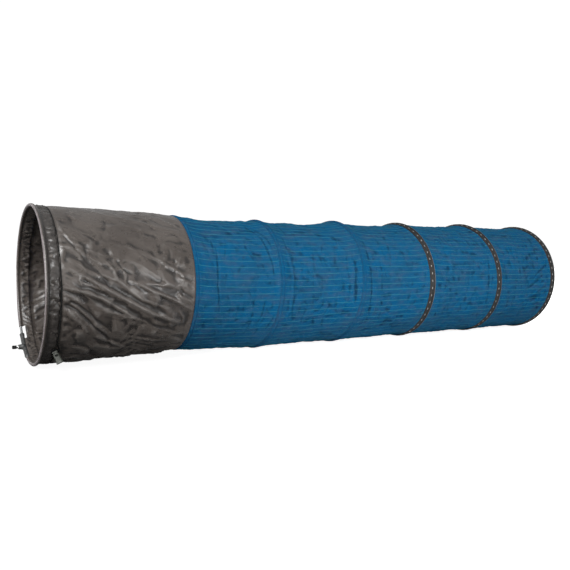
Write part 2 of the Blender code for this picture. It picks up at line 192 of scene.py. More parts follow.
def add_world():
    """White where the camera sees it, and a softer, cooler light on everything else."""
    world = bpy.data.worlds.new("studio")
    bpy.context.scene.world = world
    world.use_nodes = True
    tree = world.node_tree
    tree.nodes.clear()
    seen = node(tree, "ShaderNodeBackground", {"Color": (1, 1, 1, 1), "Strength": 1.05})
    soft = node(tree, "ShaderNodeBackground", {"Color": (0.97, 0.985, 1.0, 1), "Strength": 0.42})
    path = node(tree, "ShaderNodeLightPath")
    mix = node(tree, "ShaderNodeMixShader", {0: path.outputs["Is Camera Ray"], 1: soft.outputs[0], 2: seen.outputs[0]})
    node(tree, "ShaderNodeOutputWorld", {"Surface": mix.outputs[0]})


def add_floor():
    """A pale floor that glows a little, so that it melts into the white behind it.

    It is darker under the collar than under the mesh, which stands in for the light that real mesh lets through.
    """
    bpy.ops.mesh.primitive_plane_add(size=60, location=(0, 0, -0.0005))
    floor = bpy.context.object
    floor.name = "floor"
    made = bpy.data.materials.new("pale_floor")
    made.use_nodes = True
    tree = made.node_tree
    shader = tree.nodes["Principled BSDF"]
    coords = node(tree, "ShaderNodeTexCoord")
    split = node(tree, "ShaderNodeSeparateXYZ", {0: coords.outputs["Object"]})
    tree.links.new(ramp(tree, split.outputs[0], -0.8, -0.3, 0.10, 0.80), shader.inputs["Base Color"])
    shader.inputs["Roughness"].default_value = 0.9
    shader.inputs["Specular IOR Level"].default_value = 0.1
    path = node(tree, "ShaderNodeLightPath")
    paler = node(tree, "ShaderNodeMath", {0: path.outputs["Is Camera Ray"], 1: 0.93}, operation="MULTIPLY")
    glow = node(tree, "ShaderNodeEmission", {"Color": (1, 1, 1, 1), "Strength": paler.outputs[0]})
    both = node(tree, "ShaderNodeAddShader", {0: shader.outputs[0], 1: glow.outputs[0]})
    tree.links.new(both.outputs[0], tree.nodes["Material Output"].inputs["Surface"])
    floor.data.materials.append(made)


add_camera()
add_world()
add_floor()
bpy.context.scene.view_settings.view_transform = "Standard"
add_sun("key", (-1.0, -1.5, 1.7), 2.3, 24)
add_area("mouth_side", (-3.2, -2.2, 1.3), (-1.0, 0, 0.25), (1.6, 1.6), 42)
add_area("mouth_inside", (-2.5, -0.7, 0.5), (-0.9, 0.25, 0.22), (1.2, 1.2), 2.4, 40)
add_area("net_side", (0.3, -2.4, 0.10), (0.1, 0, 0.12), (1.8, 0.4), 5.5, 55)


# ---- materials


class Look:
    """A material under construction: a Principled BSDF with helpers for the nodes that feed it."""

    def __init__(self, name, roughness, metallic=0.0, specular=0.5, **sockets):
        self.made = bpy.data.materials.new(name)
        self.made.use_nodes = True
        self.tree = self.made.node_tree
        self.shader = self.tree.nodes["Principled BSDF"]
        self.put("Roughness", roughness)
        self.put("Metallic", metallic)
        self.put("Specular IOR Level", specular)
        for key, value in sockets.items():
            self.put(key.replace("_", " "), value)
        self.uv = node(self.tree, "ShaderNodeUVMap", uv_map="cloth").outputs[0]
        self.u, self.v = node(self.tree, "ShaderNodeSeparateXYZ", {0: self.uv}).outputs[:2]

    def put(self, socket, value):
        feed(self.tree, self.shader.inputs[socket], value)

    def math(self, operation, *values):
        return node(self.tree, "ShaderNodeMath", dict(enumerate(values)), operation=operation).outputs[0]

    def wave(self, coordinate, period):
        """The size of a sine with this period in metres: 0 on its lines and 1 between them."""
        turned = self.math("MULTIPLY", coordinate, math.pi / period)
        return self.math("ABSOLUTE", self.math("SINE", turned))

    def placed(self, vector, **moves):
        return node(self.tree, "ShaderNodeMapping", {"Vector": vector, **moves}).outputs[0]

    def noise(self, scale_u, scale_v, detail=3.0, rough=0.55, seed=0.0, source=None):
        vector = self.placed(source or self.uv, Scale=(scale_u, scale_v, 1.0), Location=(seed, seed * 1.7, seed))
        inputs = {"Vector": vector, "Scale": 1.0, "Detail": detail, "Roughness": rough}
        return node(self.tree, "ShaderNodeTexNoise", inputs).outputs["Fac"]

    def crumple(self, scale):
        """Flat-sided cells as in crumpled cloth: 0 along their creases, rising away from them."""
        wander = self.noise(11, 9, detail=2, seed=13)
        both = node(self.tree, "ShaderNodeCombineXYZ", {0: wander, 1: wander})
        inputs = {0: both.outputs[0], 1: (0.10, 0.06, 0.0), 2: self.uv}
        moved = node(self.tree, "ShaderNodeVectorMath", inputs, operation="MULTIPLY_ADD")
        vector = self.placed(moved.outputs[0], Rotation=(0.0, 0.0, 0.5), Scale=(scale, scale * 0.55, 1.0))
        inputs = {"Vector": vector, "Scale": 1.0}
        return node(self.tree, "ShaderNodeTexVoronoi", inputs, feature="DISTANCE_TO_EDGE").outputs["Distance"]

    def ramp(self, *steps):
        return ramp(self.tree, *steps)

    def mix(self, share, first, second):
        colours = [c if isinstance(c, bpy.types.NodeSocket) else (*c, 1.0) for c in (first, second)]
        return node(self.tree, "ShaderNodeMix", {0: share, 6: colours[0], 7: colours[1]}, data_type="RGBA").outputs[2]

    def tint(self, base, mask, share, colour):
        """The base with this share of another colour where the mask is 1."""
        return self.mix(self.math("MULTIPLY", mask, share), base, colour)

    def bump(self, height, distance, strength, under=None):
        inputs = {"Height": height, "Distance": distance, "Strength": strength}
        if under is not None:
            inputs["Normal"] = under
        return node(self.tree, "ShaderNodeBump", inputs).outputs[0]

    def fold(self):
        """How far the cloth stands out here, from -1 in a crease to 1 on a ridge."""
        return node(self.tree, "ShaderNodeAttribute", attribute_name="fold").outputs["Fac"]

    def let_light_through(self, share, colour, solid=None):
        """Part of the light comes through from behind. Where solid is 0 there is a hole."""
        glow = node(self.tree, "ShaderNodeBsdfTranslucent", {"Color": colour})
        cloth = node(self.tree, "ShaderNodeMixShader", {0: share, 1: self.shader.outputs[0], 2: glow.outputs[0]})
        if solid is not None:
            hole = node(self.tree, "ShaderNodeBsdfTransparent")
            cloth = node(self.tree, "ShaderNodeMixShader", {0: solid, 1: hole.outputs[0], 2: cloth.outputs[0]})
        self.tree.links.new(cloth.outputs[0], self.tree.nodes["Material Output"].inputs["Surface"])


def shaded(colour, share):
    return tuple(share * part for part in colour)


def coated_cloth(name, crest=None):
    """Satin coated nylon: warm dark grey, a fine square weave, painted shade in its creases, a painted highlight on its
    ridges, a skin of small creases.

    crest is the stretch across the cloth, in metres, over a rod: a painted highlight lies on it, and a painted shadow
    just behind it.
    """
    look = Look(name, 0.36, specular=0.65, Sheen_Weight=0.04, Sheen_Roughness=0.4)
    cloud = look.noise(9, 7, detail=4)
    base = look.mix(look.ramp(cloud, 0.35, 0.65), (0.053, 0.044, 0.038), (0.075, 0.064, 0.056))
    broken = look.crumple(30)
    # Painted shade: the cloth is darker along the crumples' creases.
    base = look.mix(look.ramp(broken, 0.04, 0.0, 0.0, 0.22), base, (0.022, 0.020, 0.018))
    scuff = look.ramp(look.noise(60, 34, detail=6, rough=0.7, seed=3), 0.62, 0.74)
    base = look.tint(base, scuff, 0.35, (0.17, 0.16, 0.15))
    fold = look.fold()
    # Painted shade: darker where the cloth lies in a crease.
    base = look.mix(look.ramp(fold, -0.06, -0.7, 0.0, 0.85), base, (0.014, 0.012, 0.011))
    # Painted highlight: paler where the cloth stands up in a ridge.
    base = look.mix(look.ramp(fold, 0.40, 1.0, 0.0, 0.26), base, (0.17, 0.16, 0.15))
    if crest is not None:
        first, last = crest
        rise = look.ramp(look.v, first, first + 0.002)
        over = look.math("MULTIPLY", rise, look.ramp(look.v, last - 0.002, last, 1.0, 0.0))
        behind = look.ramp(look.v, last - 0.001, last + 0.003)
        # Painted highlight on the cloth over the rod.
        base = look.tint(base, over, 0.8, (0.20, 0.175, 0.178))
        # Painted shadow on the cloth just behind the rod.
        base = look.tint(base, behind, 0.75, (0.026, 0.023, 0.021))
    look.put("Base Color", base)
    look.put("Roughness", look.ramp(look.noise(40, 25, detail=5, seed=7), 0.3, 0.7, 0.25, 0.38))
    weave = look.math("MULTIPLY", look.wave(look.u, 0.0008), look.wave(look.v, 0.0008))
    fine = look.bump(weave, 0.00006, 0.6)
    skin = look.noise(150, 85, detail=4, rough=0.6, seed=1)
    look.put("Normal", look.bump(broken, 0.0022, 0.45, look.bump(skin, 0.0008, 0.4, fine)))
    return look.made


def blue_mesh(name, open_mesh=True, shade=1.0):
    """Fine knitted mesh: small diamond holes, ribs of paler yarn along the net, flecks, dusty and dull patches, and
    painted shade in its creases.
    """
    look = Look(name, 0.85, specular=0.05)
    cloud = look.ramp(look.noise(7, 5, detail=4), 0.35, 0.68)
    base = look.mix(cloud, shaded((0.004, 0.115, 0.255), shade), shaded((0.014, 0.105, 0.215), shade))
    patches = (
        (look.noise(420, 60, detail=2, seed=2), 0.60, 0.70, 0.55, (0.050, 0.045, 0.085)),
        (look.noise(26, 15, detail=6, rough=0.65, seed=21), 0.46, 0.66, 0.42, (0.062, 0.098, 0.150)),
        (look.noise(9, 5, detail=5, rough=0.6, seed=23), 0.50, 0.68, 0.30, (0.010, 0.060, 0.120)),
        (look.noise(300, 45, detail=2, seed=9), 0.60, 0.72, 0.5, (0.09, 0.20, 0.29)),
    )
    for cloud, low, high, share, colour in patches:
        base = look.tint(base, look.ramp(cloud, low, high), share, colour)
    pitch = NET_GIRTH / RIBS
    rib = look.ramp(look.wave(look.u, pitch), 0.06, 0.11, 1.0, 0.0)
    base = look.tint(base, rib, 0.7, (0.016, 0.200, 0.290))
    # Painted shade: darker where the mesh lies in a crease.
    base = look.mix(look.ramp(look.fold(), -0.15, -1.0, 0.0, 0.75), base, (0.006, 0.030, 0.065))
    look.put("Base Color", base)
    cell = pitch / 8
    slope = look.math("MULTIPLY", look.v, cell / 0.0024)
    first = look.wave(look.math("ADD", look.u, slope), cell * 2)
    second = look.wave(look.math("SUBTRACT", look.u, slope), cell * 2)
    knit = look.math("MULTIPLY", first, second)
    look.put("Normal", look.bump(knit, 0.0004, 0.5, look.bump(look.noise(70, 34, detail=5, rough=0.6), 0.0035, 0.7)))
    solid = look.math("MAXIMUM", look.ramp(knit, 0.80, 0.90, 1.0, 0.35), rib) if open_mesh else None
    look.let_light_through(0.4, (0.008, 0.300, 0.640, 1), solid)
    return look.made


def rib_yarn():
    look = Look("rib_yarn", 0.7, specular=0.1)
    base = look.mix(look.noise(60, 20), (0.020, 0.190, 0.245), (0.055, 0.330, 0.370))
    look.put("Base Color", base)
    look.put("Normal", look.bump(look.wave(look.v, 0.003), 0.0002, 0.5))
    look.let_light_through(0.3, (0.03, 0.24, 0.42, 1))
    return look.made


def binding_tape():
    """Dark woven tape: a ribbed weave across it, paler worn patches, and a painted highlight along its roll over the
    hoop, on the outer side away from the mouth.
    """
    look = Look("woven_tape", 0.5, specular=0.3)
    base = look.mix(look.noise(22, 90, detail=4), (0.005, 0.005, 0.005), (0.014, 0.014, 0.014))
    worn = look.ramp(look.noise(90, 500, detail=5, seed=4), 0.55, 0.75)
    base = look.tint(base, worn, 0.25, (0.12, 0.12, 0.12))
    # Painted highlight: a pale band along the tape's roll over the hoop, on its outer side away from the mouth.
    ridge = look.math("MULTIPLY", look.ramp(look.v, 0.0246, 0.0254), look.ramp(look.v, 0.0290, 0.0298, 1.0, 0.0))
    look.put("Base Color", look.tint(base, ridge, 0.9, (0.300, 0.302, 0.296)))
    weave = look.math("MULTIPLY", look.wave(look.u, 0.0011), look.wave(look.v, 0.0009))
    look.put("Normal", look.bump(weave, 0.0002, 0.7))
    return look.made


def thread(name, colour):
    look = Look(name, 0.6, specular=0.3)
    look.put("Base Color", look.mix(look.noise(300, 300), colour, shaded(colour, 0.6)))
    return look.made


def metal(name, colour, roughness):
    """Plated steel with fine drawn lines along its surface."""
    look = Look(name, roughness, metallic=1.0)
    coords = node(look.tree, "ShaderNodeTexCoord").outputs["Object"]
    lines = look.noise(900, 900, detail=3, source=coords)
    look.put("Base Color", look.mix(lines, colour, shaded(colour, 0.8)))
    look.put("Roughness", look.ramp(lines, 0.3, 0.7, roughness * 0.8, roughness * 1.3))
    look.put("Normal", look.bump(lines, 0.00003, 0.4))
    return look.made


def plastic(name, dark, pale, roughness):
    """Moulded plastic: a fine spark-eroded grain, and slightly paler scuffs."""
    look = Look(name, roughness, specular=0.45)
    coords = node(look.tree, "ShaderNodeTexCoord").outputs["Object"]
    cloud = look.ramp(look.noise(120, 120, detail=5, source=coords), 0.45, 0.75)
    look.put("Base Color", look.mix(cloud, dark, pale))
    look.put("Normal", look.bump(look.noise(700, 700, detail=2, source=coords), 0.0001, 0.5))
    return look.made


def braid():
    """Black braided cord: two sets of strands that cross."""
    look = Look("braided_cord", 0.85, specular=0.1)
    first, second = (look.wave(look.math(way, look.u, look.v), 0.0021) for way in ("ADD", "SUBTRACT"))
    over = look.math("MAXIMUM", first, second)
    look.put("Base Color", look.mix(over, (0.002, 0.002, 0.002), (0.010, 0.010, 0.010)))
    look.put("Normal", look.bump(over, 0.0004, 0.8))
    return look.made


CLOTH_LOOK = coated_cloth("coated_nylon")
HEM_LOOK = coated_cloth("coated_nylon_over_rod", crest=(0.0395, 0.0520))
MESH_LOOK = blue_mesh("knitted_mesh")
POCKET_LOOK = blue_mesh("knitted_mesh_doubled", open_mesh=False, shade=0.8)
RIB_LOOK = rib_yarn()
TAPE_LOOK = binding_tape()
GREY_THREAD = thread("grey_thread", (0.05, 0.047, 0.045))
SEAM_THREAD = thread("seam_thread", (0.24, 0.23, 0.22))
PALE_THREAD = thread("pale_thread", (0.46, 0.44, 0.42))
BLUE_THREAD = thread("blue_thread", (0.012, 0.040, 0.075))
STEEL = metal("bright_plating", (0.86, 0.87, 0.86), 0.22)
WIRE_LOOK = metal("drawn_wire", (0.55, 0.55, 0.54), 0.35)
PLASTIC_LOOK = plastic("dark_nylon", (0.045, 0.046, 0.045), (0.10, 0.10, 0.098), 0.45)
BLACK_LOOK = plastic("black_cap", (0.006, 0.006, 0.006), (0.02, 0.02, 0.02), 0.4)
LOCK_LOOK = plastic("grey_green_plastic", (0.026, 0.029, 0.022), (0.060, 0.064, 0.050), 0.5)
CORD_LOOK = braid()


# ---- mesh helpers


def lengths_along(path):
    """How far along a path each of its points is."""
    return np.concatenate([[0], np.cumsum(np.linalg.norm(np.diff(path, axis=0), axis=1))])


def add_mesh(name, points, faces, look, uv=None, shade_smooth=True):
    data = bpy.data.meshes.new(name)
    data.from_pydata(points.tolist(), [], faces)
    layer = data.uv_layers.new(name="cloth")
    if uv is not None:
        layer.data.foreach_set("uv", np.asarray(uv, np.float32).ravel())
    if shade_smooth:
        data.shade_smooth()
    data.materials.append(look)
    return add_object(name, data)


def standing_out(relief):
    """Each point's height over the cloth around it, -1 to 1 for the materials. Columns run round the net."""
    around = relief.copy()
    for _ in range(SMOOTHINGS):
        around = (np.roll(around, 1, 1) + 2 * around + np.roll(around, -1, 1)) / 4
        padded = np.concatenate([around[:1], around, around[-1:]])
        around = (padded[:-2] + 2 * around + padded[2:]) / 4
    return np.clip((relief - around) / FULL_FOLD, -1, 1)


def grid_object(name, grid, u, v, look, round_net=True, closed_rows=False, skip=None, fold=None, caps=False):
    """A mesh from a grid of points, its columns round the net or along the piece. u is by column, v by row, in metres.

    u has one value more than there are columns where the columns close, and v one more than the rows where they do.
    """
    rows, columns = grid.shape[:2]
    quads = (rows if closed_rows else rows - 1, columns if round_net else columns - 1)
    r, c = (index.ravel() for index in np.indices(quads))
    if skip is not None:
        keep = ~skip(r, c)
        r, c = r[keep], c[keep]
    r_next, c_next = (r + 1) % rows, (c + 1) % columns
    faces = np.stack([r * columns + c, r * columns + c_next, r_next * columns + c_next, r_next * columns + c], 1)
    uv = np.stack([u[c], v[r], u[c + 1], v[r], u[c + 1], v[r + 1], u[c], v[r + 1]], 1).reshape(-1, 2)
    used = np.unique(faces)
    faces = np.searchsorted(used, faces).tolist()
    if caps:
        start = np.arange(rows) * columns
        faces += [start.tolist(), (start[::-1] + columns - 1).tolist()]
        uv = np.concatenate([uv, np.zeros((2 * rows, 2))])
    made = add_mesh(name, grid.reshape(-1, 3)[used], faces, look, uv)
    if fold is not None:
        stored = made.data.attributes.new("fold", "FLOAT", "POINT")
        stored.data.foreach_set("value", fold.ravel()[used].astype(np.float32))
    return made


def thicken(piece, thickness):
    """Gives a surface its thickness inwards, edges closed, and applies it."""
    step = piece.modifiers.new("thickness", "SOLIDIFY")
    step.thickness = thickness
    step.offset = -1.0
    step.use_even_offset = False
    step.use_rim = True
    depsgraph = bpy.context.evaluated_depsgraph_get()
    solid = bpy.data.meshes.new_from_object(piece.evaluated_get(depsgraph))
    piece.modifiers.clear()
    piece.data = solid


def turn_angles(count):
    return AXIAL_SEAM + 2 * math.pi * np.arange(count) / count


def turn_u(count):
    return NET_GIRTH * np.arange(count + 1) / count


def smooth(share):
    share = np.clip(share, 0, 1)
    return share * share * (3 - 2 * share)


def field(first, second, third):
    """Perlin noise at arrays of coordinates."""
    first, second, third = np.broadcast_arrays(first, second, third)
    flat = zip(first.ravel(), second.ravel(), third.ravel())
    values = np.fromiter((noise.noise(Vector(place)) for place in flat), float, first.size)
    return values.reshape(first.shape)


def folds(angle, x, across, along, twist=0.0, seed=0.0):
    """Noise on the tube: bumps this far apart round it and along it, turned by twist metres round per metre along."""
    turned = angle - twist * x / NET_RADIUS
    reach = NET_RADIUS / across
    return field(reach * np.cos(turned) + seed, reach * np.sin(turned) - seed, x / along + 3.7 * seed)


def ridges(values, sharp=2.4):
    """Thin ridges where the noise crosses zero."""
    return (1 - np.minimum(1, np.abs(values) * sharp)) ** 2


def facets(angle, x, cell, slope, shear, seed):
    """Angular crumples: small planes tilted at random round scattered points, meeting in short bends."""
    rng = np.random.default_rng(seed)
    columns, rows = round(NET_GIRTH / cell), 64
    width = NET_GIRTH / columns
    place = rng.uniform(0.1, 0.9, (columns, rows, 2))
    tilt = rng.uniform(-1, 1, (columns, rows, 2)) * slope
    level = rng.uniform(-0.25, 0.25, (columns, rows)) * slope * cell
    across = (NET_RADIUS * angle + shear * x) / width
    along = x / cell + 16
    column, row = np.floor(across).astype(int), np.floor(along).astype(int)
    nearest, second = np.full(across.shape, 9.0), np.full(across.shape, 9.0)
    height, other = np.zeros(across.shape), np.zeros(across.shape)
    for right in (-1, 0, 1):
        for down in (-1, 0, 1):
            c, r = (column + right) % columns, (row + down) % rows
            first = across - column - right - place[c, r, 0]
            last = along - row - down - place[c, r, 1]
            away = np.hypot(first, last)
            plane = level[c, r] + cell * (tilt[c, r, 0] * first + tilt[c, r, 1] * last)
            closer = away < nearest
            runner_up = ~closer & (away < second)
            second = np.where(closer, nearest, np.where(runner_up, away, second))
            other = np.where(closer, height, np.where(runner_up, plane, other))
            nearest = np.where(closer, away, nearest)
            height = np.where(closer, plane, height)
    share = 0.5 + 0.5 * np.clip((second - nearest) / 0.3, 0, 1)
    return share * height + (1 - share) * other


def crease(angle, x, line, width, height):
    """A fold along a line of (degrees, millimetres) points, its width and height in metres. Both ends fade out."""
    radius = 0.245
    arc = angle * radius
    points = np.array([(math.radians(degrees) * radius, at / MM) for degrees, at in line])
    done = lengths_along(points)
    best = np.full(np.shape(arc * x), 9.0)
    along = np.zeros_like(best)
    for start, end, before, after in zip(points, points[1:], done, done[1:]):
        length = after - before
        share = ((arc - start[0]) * (end[0] - start[0]) + (x - start[1]) * (end[1] - start[1])) / length**2
        share = np.clip(share, 0, 1)
        away = np.hypot(arc - start[0] - share * (end[0] - start[0]), x - start[1] - share * (end[1] - start[1]))
        nearer = away < best
        best = np.where(nearer, away, best)
        along = np.where(nearer, (before + share * length) / done[-1], along)
    taper = np.sqrt(np.clip(4 * along * (1 - along), 0, 1)) * 0.85 + 0.15
    return height * taper * np.exp(-((best / width) ** 2))


def between(front, back, waist, droop, power):
    """A surface from one edge to another: points at (angle, share), drawn in and hanging between its two hoops."""

    def surface(angle, share):
        start, end = front(angle), back(angle)
        share = share[..., None]
        point = start + (end - start) * share
        depth = 1 - np.abs(2 * share - 1) ** power
        outwards = point - mouth.centre
        outwards[..., 0] = 0
        outwards /= np.linalg.norm(outwards, axis=-1, keepdims=True)
        return point - outwards * waist * depth - np.array([0, 0, 1.0]) * droop * depth, outwards

    return surface


def raised_surface(surface, relief, angle, share, lift=0.0):
    """Points of a surface with its relief added, and the relief."""
    base, outwards = surface(angle, share)
    raised = relief(angle, base[..., 0]) + lift
    base = base + outwards * raised[..., None]
    base[..., 2] = np.maximum(base[..., 2], CLOTH_FLOOR)
    return base, raised


def arc(radius, degrees):
    """Points at these angles on a circle round the origin."""
    return [(radius * math.cos(math.radians(turn)), radius * math.sin(math.radians(turn))) for turn in degrees]


def stitch_row(name, path, normals, size, look):
    """A row of stitches along a path, each a bead that lies along it. size is their pitch, length and width."""
    pitch, length, width = size
    at = lengths_along(path)
    count = max(1, int(at[-1] / pitch))
    where = (np.arange(count) + 0.5) * at[-1] / count

    def sample(values, shift=0.0):
        return np.stack([np.interp(where + shift, at, values[:, k]) for k in range(3)], 1)

    centre = sample(path)
    tangent = sample(path, length / 2) - sample(path, -length / 2)
    tangent /= np.linalg.norm(tangent, axis=1, keepdims=True)
    side = np.cross(tangent, sample(normals))
    side /= np.linalg.norm(side, axis=1, keepdims=True)
    axes = np.stack([tangent, side, np.cross(side, tangent)], 1)

    sides = 6
    bead = [(-length / 2, 0.0, 0.0)]
    for share in (-0.75, 0.0, 0.75):
        reach = width / 2 * math.sqrt(1 - abs(share) ** 2.5)
        bead += [(share * length / 2, y, z) for y, z in arc(reach, np.arange(sides) * 360 / sides)]
    bead = np.array([*bead, (length / 2, 0.0, 0.0)])
    faces = []
    for k in range(sides):
        after = (k + 1) % sides
        faces.append((0, 1 + after, 1 + k))
        for low in (1, 1 + sides):
            faces.append((low + k, low + after, low + sides + after, low + sides + k))
        faces.append((1 + 2 * sides + k, 1 + 2 * sides + after, 1 + 3 * sides))
    points = np.concatenate([place + bead @ turned for place, turned in zip(centre, axes)])
    every = [tuple(index + len(bead) * spot for index in face) for spot in range(count) for face in faces]
    return add_mesh(name, points, every, look)


def stitch_pair(name, hoop, x, outs, size, look, body):
    """Rows of stitches round a hoop, on the outside and the inside of its cloth."""
    angle = np.linspace(0.0, 2 * math.pi, 257)
    rows = []
    for place, out, side in zip(("outside", "inside"), outs, (1, -1)):
        line = hoop.point(x, out, angle)
        outwards = hoop.point(x, out + 1.0, angle) - line
        row = stitch_row(f"{name}_{place}", line, outwards * side, size, look)
        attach(row, body)
        rows.append(row)
    return rows


def sweep(name, path, radius, sides, look):
    """A round tube along a path, closed at its ends. Its UV runs along it in u and round it in v. radius may vary."""
    path = np.asarray(path, float)
    radius = np.broadcast_to(radius, len(path))
    tangent = np.gradient(path, axis=0)
    tangent /= np.linalg.norm(tangent, axis=1, keepdims=True)
    normal = np.cross(tangent[0], (0.3, 0.2, 0.9))
    normals = []
    for ahead in tangent:
        normal = normal - ahead * (normal @ ahead)
        normal = normal / np.linalg.norm(normal)
        normals.append(normal)
    across = np.cross(tangent, normals)
    turn = -2 * math.pi * np.arange(sides)[:, None, None] / sides
    grid = path + radius[:, None] * (np.cos(turn) * normals + np.sin(turn) * across)
    v = radius.max() * 2 * math.pi * np.arange(sides + 1) / sides
    return grid_object(name, grid, lengths_along(path), v, look, round_net=False, closed_rows=True, caps=True)


def ring_of(name, hoop, radius, steps, look, count=384):
    """A round rod bent round a hoop."""
    profile = arc(radius, np.arange(steps) * -360 / steps)
    grid = np.stack([hoop.point(x, out, turn_angles(count)) for x, out in profile])
    return grid_object(name, grid, turn_u(count), lengths_along(profile + profile[:1]), look, closed_rows=True)


# ---- the collar


def hem_profile():
    """The front hem from its inner seam edge, forward, round the mouth rod, and back to its outer seam edge."""
    inner = [(HEM_WIDTH, -0.0062), (0.030, -0.0058), (0.024, -0.0053)]
    inner += [(0.018, -0.0047), (0.013, -0.0043), (0.009, -0.0040)]
    outer = [(0.0066, -0.0008), (0.0090, -0.0026), (0.013, -0.0030), (0.018, -0.0024)]
    outer += [(0.024, -0.0018), (0.031, -0.0018), (HEM_WIDTH, -0.0028)]
    return np.array(inner + arc(MOUTH_POCKET, range(-40, -341, -20)) + outer)


def make_hem():
    profile = hem_profile()
    count = 448
    angle = turn_angles(count)
    x, out = profile.T[..., None]
    skirt = smooth((x - 0.006) / 0.012)
    outer = np.arange(len(profile))[:, None] > len(profile) / 2
    gathers = folds(angle, x, 0.011, 0.05, twist=0.5, seed=4.2)
    bunch = ridges(folds(angle, x, 0.016, 0.03, twist=-0.6, seed=8.5))
    high = 0.6 + 0.8 * smooth((np.sin(angle) + 0.2) / 0.8)
    relief = skirt * (0.0036 * gathers + 0.0034 * bunch) * np.where(outer, 1.0, -1.2 * high)
    relief = relief + 0.0004 * folds(angle, x, 0.03, 0.02, seed=1.3)
    grid = mouth.point(x, out + relief, angle)
    grid[..., 2] = np.maximum(grid[..., 2], SLEEVE_FLOOR)

    def in_cut(r, c):
        turned = (angle[c] + math.pi) % (2 * math.pi) - math.pi
        at = (x[r, 0] + x[r + 1, 0]) / 2
        width = np.where(turned > CUT_STEP, CUT_WIDTH, CUT_NARROW)
        return (turned > CUT_FROM) & (turned < CUT_TO) & (at < width)

    v = lengths_along(profile)
    hem = grid_object("front_hem", grid, turn_u(count), v, HEM_LOOK, skip=in_cut, fold=standing_out(relief))
    thicken(hem, CLOTH)
    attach(hem, "mouth")
    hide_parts("hoop_casing")
    return hem


COLLAR_FRONT = mouth.centre[0] + HEM_WIDTH
COLLAR_LENGTH = rings[1].centre[0] - COLLAR_FRONT

# Folds of the near side: lines of (degrees round the net, distance behind the mouth hoop), then width and height, in mm
COLLAR_FOLDS = (
    (((180, 40), (184, 108), (188, 152), (198, 220), (205, 262)), 8.5, 6),
    (((173, 104), (180, 152), (190, 228), (202, 320), (211, 416)), 10, 5.8),
    (((176, 236), (185, 320), (194, 408)), 8, 3.4),
    (((186, 44), (192, 84), (200, 124), (208, 160)), 6.5, -4.8),
    (((191, 44), (196, 84), (206, 124), (218, 176), (232, 208)), 6, -5.6),
    (((197, 60), (206, 96), (214, 128)), 7, 4),
    (((163, 168), (169, 190), (176, 200)), 4.5, 5),
    (((166, 206), (172, 226), (178, 222)), 4.2, 4.6),
    (((172, 150), (176, 166), (183, 176)), 4, -4.4),
    (((160, 196), (168, 214), (172, 246)), 4.2, -3.8),
    (((131, 38), (147, 72), (154, 112), (160, 180)), 5, 2.6),
    (((143, 56), (155, 86), (162, 112), (172, 150)), 4.5, -2.8),
    (((150, 240), (157, 300), (168, 380), (173, 420)), 6, 2.6),
    (((217, 150), (226, 200), (232, 250)), 7, 5),
    (((228, 262), (232, 300), (238, 352)), 8, -4.6),
    (((221, 250), (226, 320), (229, 390)), 8, 4),
    (((204, 280), (212, 330), (218, 400)), 7, -3),
    (((200, 400), (206, 420), (212, 424)), 4.5, 2.8),
    (((170, 396), (174, 412), (178, 410)), 4, 2.4),
    (((181, 398), (186, 410), (189, 408)), 4, -2.4),
)


FOLD_WIDTH = 0.70  # the folds of the table are drawn this much narrower


FOLD_HEIGHT = 1.10  # and this much higher


def collar_relief(angle, x):
    """How far the collar's cloth stands out: broad drag folds down to the mouth's low side, creases and crumples."""
    behind = x - mouth.centre[0]
    ends = smooth((behind - HEM_WIDTH) / 0.020) * smooth((0.460 - behind) / 0.030)
    slack = 0.45 + 0.55 * smooth((0.75 - np.sin(angle)) / 0.9)
    warp = 0.10 * folds(angle, behind, 0.12, 0.12, seed=2.1)
    broad = folds(angle + warp, behind, 0.060, 0.26, twist=0.42, seed=0.4)
    long_ridges = ridges(folds(angle + warp, behind, 0.045, 0.20, twist=0.42, seed=6.3), 3.6)
    patch = smooth(folds(angle, behind, 0.11, 0.09, seed=7.7) * 2.2 + 0.25)
    bend = angle + 1.5 * warp
    crumples = facets(bend, behind, 0.048, 0.12, -0.45, 11) + patch * facets(bend, behind, 0.021, 0.17, 0.35, 12)
    near_seam = smooth((0.085 - behind) / 0.05)
    gathers = folds(angle, behind, 0.014, 0.06, twist=0.3, seed=4.2)
    total = 0.0034 * broad + 0.0027 * (long_ridges - 0.2) + crumples + near_seam * 0.0042 * gathers
    for line, width, height in COLLAR_FOLDS:
        total = total + crease(angle, behind, line, width * FOLD_WIDTH / MM, height * FOLD_HEIGHT / MM)
    beside_cord = smooth((behind - 0.040) / 0.008) * smooth((0.11 - behind) / 0.05)
    return (total * slack - 0.0010) * ends + 0.0022 * beside_cord


SEAM_ROWS = 0.0035  # the collar's lengthwise seam: its two rows of stitches, to each side of its middle
FELL_HALF = 0.0065  # half the width of the strip that covers it
FELL_RISE = (0.0, 0.8, 1.0, 1.0, 1.0, 0.8, 0.0)
SEAM_STITCH = (0.0042, 0.0033, 0.0011)  # pitch, length, width
HEM_STITCH = (0.0042, 0.0031, 0.0008)


